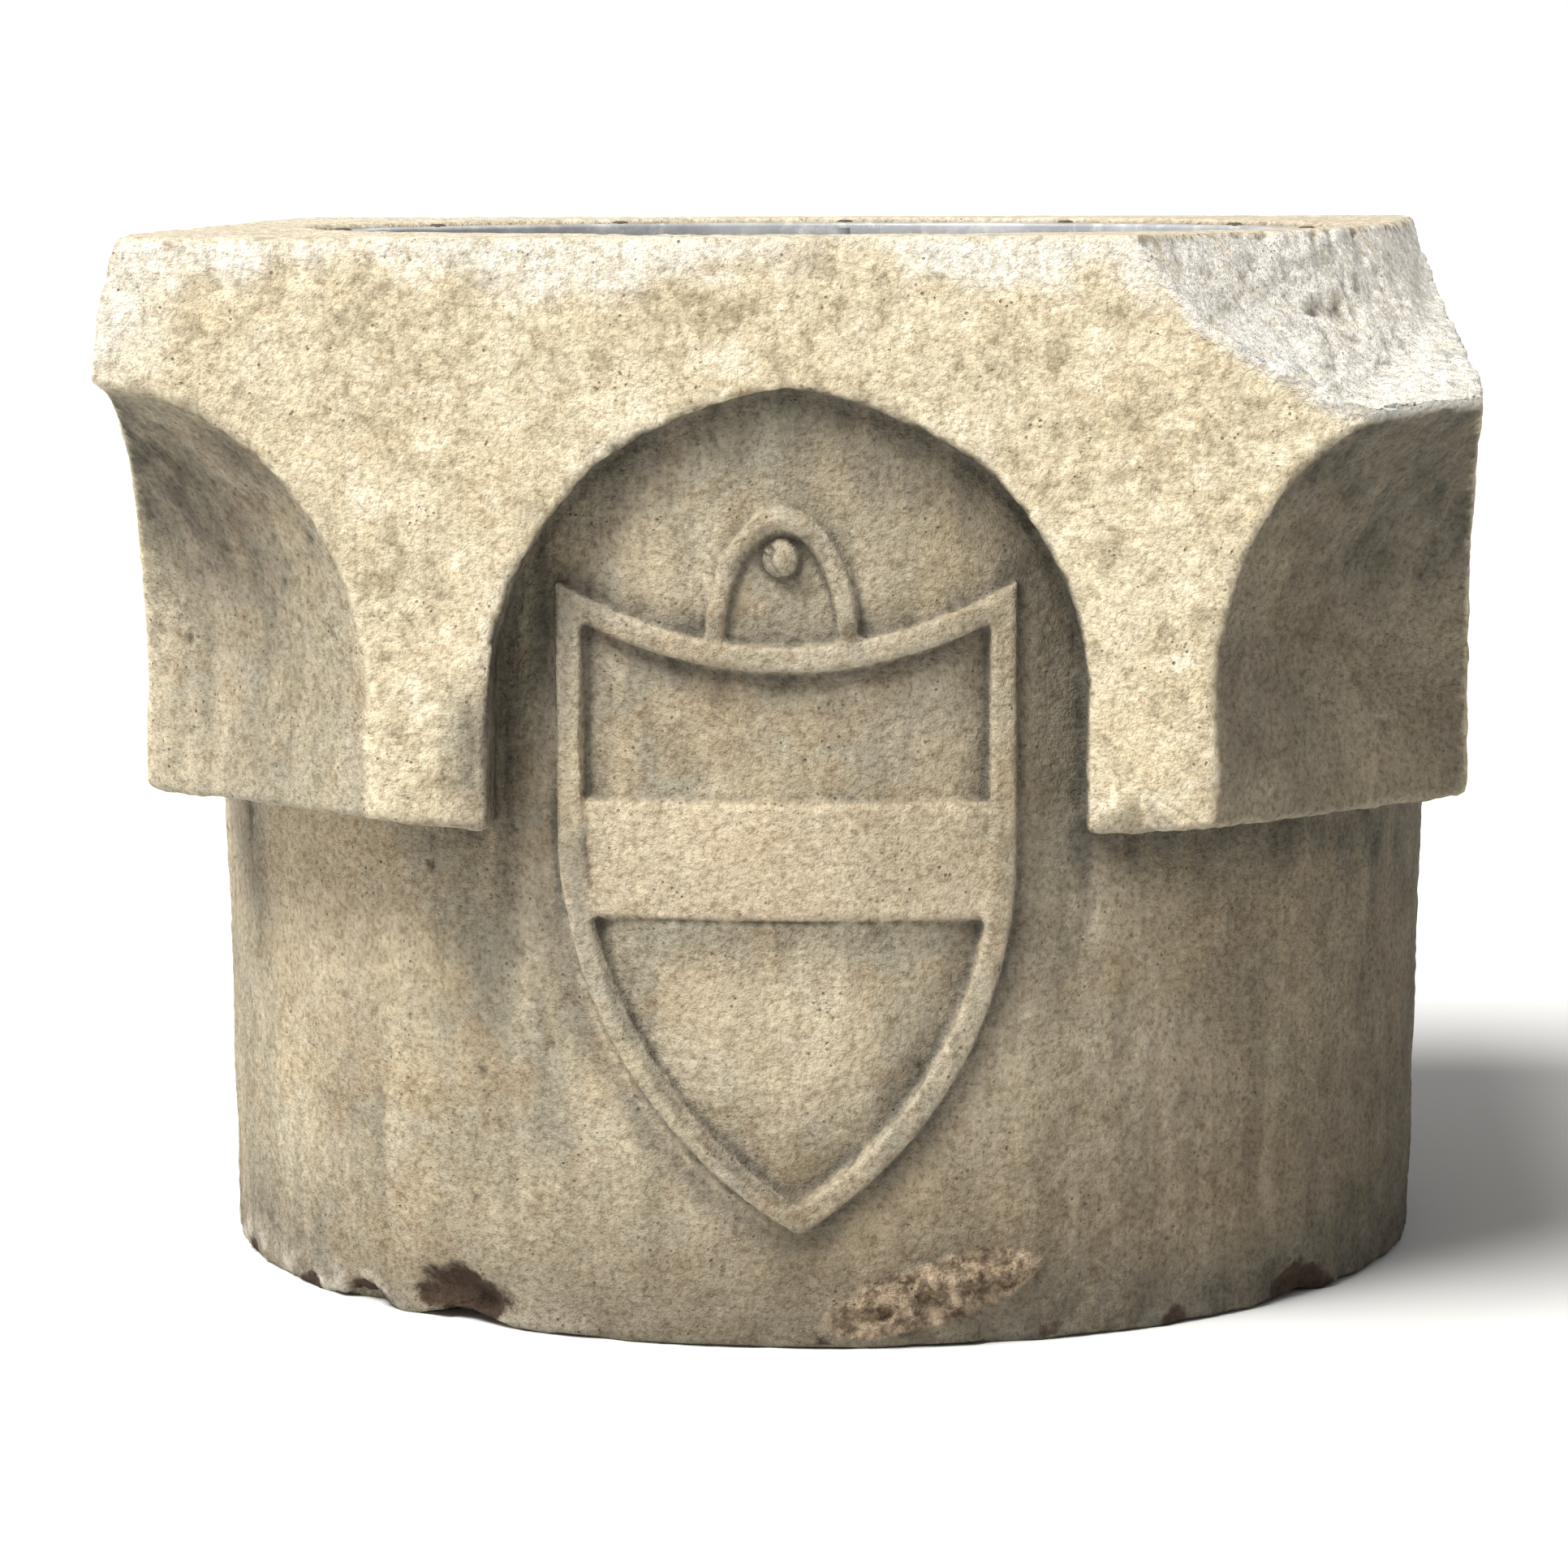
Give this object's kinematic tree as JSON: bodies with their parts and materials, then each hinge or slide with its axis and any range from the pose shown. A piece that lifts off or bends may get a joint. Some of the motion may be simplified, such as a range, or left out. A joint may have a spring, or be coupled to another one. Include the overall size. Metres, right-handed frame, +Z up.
{
  "type": "baptismal font",
  "caption": "Carved stone font: square arched head with hollowed corners on a round drum, shield on the front, lead-lined bowl with a brass lift-out plug.",
  "frame": {"origin": "centre of the drum's underside, which is the middle of the square head too", "axes": "+Z up; the carved shield faces -Y; +X is to the right as seen from the front"},
  "size_m": [0.72, 0.72, 0.584],
  "materials": {
    "stone": "matte",
    "mortar": "matte",
    "lead": "matte",
    "lead_bead": "satin",
    "solder": "satin",
    "copper": "matte",
    "brass": "satin",
    "leather": "matte"
  },
  "bodies": {
    "font": {"stone_block": "stone", "lining_wall": "lead", "lining_floor": "lead", "floor_seam": "lead_bead", "wall_seam": "lead_bead", "lining_nails": "copper", "nail_plugs": "lead", "plug_seat": "brass", "seat_tail": "brass", "seat_solder": "solder", "waste_pipe": "lead", "pipe_joint": "solder", "pipe_packing": "mortar"},
    "plug": {"plug_body": "brass", "plug_washer": "leather", "plug_eye": "brass", "eye_washer": "brass", "eye_nut": "brass"},
    "pull_ring": {"pull_ring": "brass"}
  },
  "joints": [
    {"name": "plug_lift", "type": "slide", "parent": "font", "child": "plug", "axis": [0, 0, 1], "range_m": [0, 0.36]},
    {"name": "ring_swing", "type": "hinge", "parent": "plug", "child": "pull_ring", "pos_m": [0, 0, 0.2991], "axis": [-1, 0, 0], "range_deg": [0, 150]}
  ]
}
